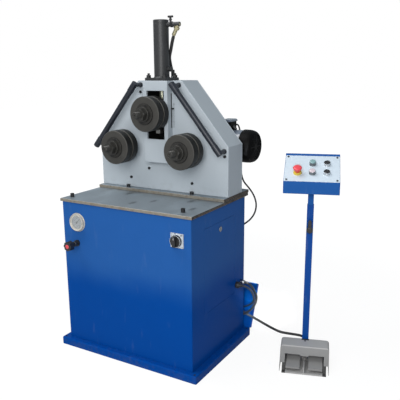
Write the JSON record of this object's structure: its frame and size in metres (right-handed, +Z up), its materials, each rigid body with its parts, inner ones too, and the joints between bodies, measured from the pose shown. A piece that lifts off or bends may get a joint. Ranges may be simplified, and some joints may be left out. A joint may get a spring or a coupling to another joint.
{
  "type": "profile bending machine",
  "caption": "Floor-standing hydraulic profile bender with driven rollers in a triangle, a press cylinder on top, a cabinet below, and a pedal stand with push buttons joined by a cable.",
  "frame": {"origin": "centre of the base plinth's underside, on the floor", "axes": "+Z up, +X towards the machine's right side, where the control stand is, and +Y towards its back"},
  "size_m": [1.209, 0.9554, 1.5179],
  "materials": {
    "cabinet_blue": "semi-gloss enamel",
    "black_plastic": "matt",
    "cable_black": "matt",
    "bare_steel": "ground",
    "panel_white": "satin",
    "black_oxide": "matt black",
    "signal_red": "gloss",
    "head_grey": "semi-gloss enamel",
    "pedal_grey": "hammered enamel",
    "dark_steel": "turned and oiled",
    "signal_green": "gloss"
  },
  "bodies": {
    "machine": {"base_plinth": "cabinet_blue", "cabinet_shell": "cabinet_blue", "rear_panel": "cabinet_blue", "table_plate": "bare_steel", "riser_plate": "bare_steel", "head_shell": "head_grey", "head_cover": "head_grey", "slide_housing": "head_grey", "cylinder_barrel": "black_oxide", "pressure_hose": "cable_black", "gearbox": "cabinet_blue", "drive_motor": "black_oxide", "motor_lead": "cable_black", "power_pack": "cabinet_blue", "gauge_case": "bare_steel", "valve_body": "black_plastic", "switch_plate": "panel_white", "left_guide_bar": "black_oxide", "right_guide_bar": "black_oxide", "control_gland": "bare_steel", "mains_gland": "black_plastic", "control_cable": "cable_black", "mains_cable": "cable_black", "mains_coil": "cable_black", "mains_plug": "signal_red", "stand_base": "cabinet_blue", "pedal_hood": "pedal_grey"},
    "press_slide": {"slide_block": "dark_steel", "piston_rod": "bare_steel"},
    "upper_roller": {"upper_shaft": "dark_steel", "upper_front_roller": "black_oxide", "upper_rear_roller": "black_oxide", "upper_lock_nut": "black_oxide"},
    "left_roller": {"left_shaft": "dark_steel", "left_front_roller": "black_oxide", "left_rear_roller": "black_oxide", "left_lock_nut": "black_oxide", "left_gear": "bare_steel"},
    "right_roller": {"right_shaft": "dark_steel", "right_front_roller": "black_oxide", "right_rear_roller": "black_oxide", "right_lock_nut": "black_oxide", "right_gear": "bare_steel"},
    "pinion": {"drive_pinion": "bare_steel"},
    "bleed": {"bleed_knob": "black_plastic"},
    "needle": {"gauge_needle": "black_oxide"},
    "valve": {"valve_knob": "black_plastic"},
    "switch": {"switch_knob": "black_plastic"},
    "door": {"access_door": "cabinet_blue"},
    "lock": {"door_lock": "bare_steel"},
    "control_head": {"control_box": "cabinet_blue", "control_panel": "panel_white"},
    "clamp": {"clamp_lever": "black_plastic"},
    "estop": {"estop_cap": "signal_red"},
    "start": {"start_button": "signal_green"},
    "stop": {"stop_button": "panel_white"},
    "up": {"up_button": "black_plastic"},
    "down": {"down_button": "black_plastic"},
    "left_pedal": {"left_pedal": "pedal_grey"},
    "right_pedal": {"right_pedal": "pedal_grey"}
  },
  "joints": [
    {"name": "press_stroke", "type": "slide", "parent": "machine", "child": "press_slide", "axis": [0, 0, 1], "range_m": [-0.085, 0.065]},
    {"name": "upper_spin", "type": "hinge", "parent": "press_slide", "child": "upper_roller", "pos_m": [0, 0, 1.0966], "axis": [0, 1, 0], "continuous": true},
    {"name": "left_spin", "type": "hinge", "parent": "machine", "child": "left_roller", "pos_m": [-0.1753, 0, 0.9396], "axis": [0, 1, 0], "continuous": true},
    {"name": "right_spin", "type": "hinge", "parent": "machine", "child": "right_roller", "pos_m": [0.1753, 0, 0.9396], "axis": [0, 1, 0], "continuous": true},
    {"name": "pinion_spin", "type": "hinge", "parent": "machine", "child": "pinion", "pos_m": [0, 0, 0.86128], "axis": [0, 1, 0], "continuous": true},
    {"name": "bleed_turn", "type": "hinge", "parent": "machine", "child": "bleed", "pos_m": [0.051, 0.0845, 1.4899], "axis": [0, 0, 1], "range_deg": [0, 360]},
    {"name": "needle_swing", "type": "hinge", "parent": "machine", "child": "needle", "pos_m": [-0.256, -0.2475, 0.617], "axis": [0, 1, 0], "range_deg": [-180, 90]},
    {"name": "valve_turn", "type": "hinge", "parent": "machine", "child": "valve", "pos_m": [-0.264, -0.2955, 0.518], "axis": [0, 1, 0], "range_deg": [-180, 180]},
    {"name": "switch_turn", "type": "hinge", "parent": "machine", "child": "switch", "pos_m": [0.279, -0.2405, 0.612], "axis": [0, 1, 0], "range_deg": [0, 90]},
    {"name": "door_drop", "type": "hinge", "parent": "machine", "child": "door", "pos_m": [0.344, 0.0055, 0.257], "axis": [0, 1, 0], "range_deg": [0, 35]},
    {"name": "lock_turn", "type": "hinge", "parent": "door", "child": "lock", "pos_m": [0.344, 0.0055, 0.6065], "axis": [1, 0, 0], "range_deg": [0, 90]},
    {"name": "box_height", "type": "slide", "parent": "machine", "child": "control_head", "axis": [0, 0, 1], "range_m": [-0.05, 0.15]},
    {"name": "clamp_turn", "type": "hinge", "parent": "machine", "child": "clamp", "pos_m": [0.68575, 0.18923, 0.606], "axis": [-0.314, 0.9494, 0], "range_deg": [-90, 90]},
    {"name": "estop_press", "type": "slide", "parent": "control_head", "child": "estop", "axis": [-0.1529, 0.4623, -0.8735], "range_m": [0, 0.005], "stiffness_N_per_m": 1500, "springref_m": -0.002},
    {"name": "start_press", "type": "slide", "parent": "control_head", "child": "start", "axis": [-0.1529, 0.4623, -0.8735], "range_m": [0, 0.004], "stiffness_N_per_m": 800, "springref_m": -0.002},
    {"name": "stop_press", "type": "slide", "parent": "control_head", "child": "stop", "axis": [-0.1529, 0.4623, -0.8735], "range_m": [0, 0.004], "stiffness_N_per_m": 800, "springref_m": -0.002},
    {"name": "up_press", "type": "slide", "parent": "control_head", "child": "up", "axis": [-0.1529, 0.4623, -0.8735], "range_m": [0, 0.004], "stiffness_N_per_m": 800, "springref_m": -0.002},
    {"name": "down_press", "type": "slide", "parent": "control_head", "child": "down", "axis": [-0.1529, 0.4623, -0.8735], "range_m": [0, 0.004], "stiffness_N_per_m": 800, "springref_m": -0.002},
    {"name": "left_pedal_tilt", "type": "hinge", "parent": "machine", "child": "left_pedal", "pos_m": [0.64897, 0.146, 0.036], "axis": [0.9494, 0.314, 0], "range_deg": [0, 5], "stiffness_Nm_per_rad": 20, "springref_deg": -2.86},
    {"name": "right_pedal_tilt", "type": "hinge", "parent": "machine", "child": "right_pedal", "pos_m": [0.74107, 0.17646, 0.036], "axis": [0.9494, 0.314, 0], "range_deg": [0, 5], "stiffness_Nm_per_rad": 20, "springref_deg": -2.86}
  ],
  "couplings": [
    {"joint": "right_spin", "follows": "left_spin", "ratio": 1},
    {"joint": "pinion_spin", "follows": "left_spin", "ratio": -2}
  ]
}
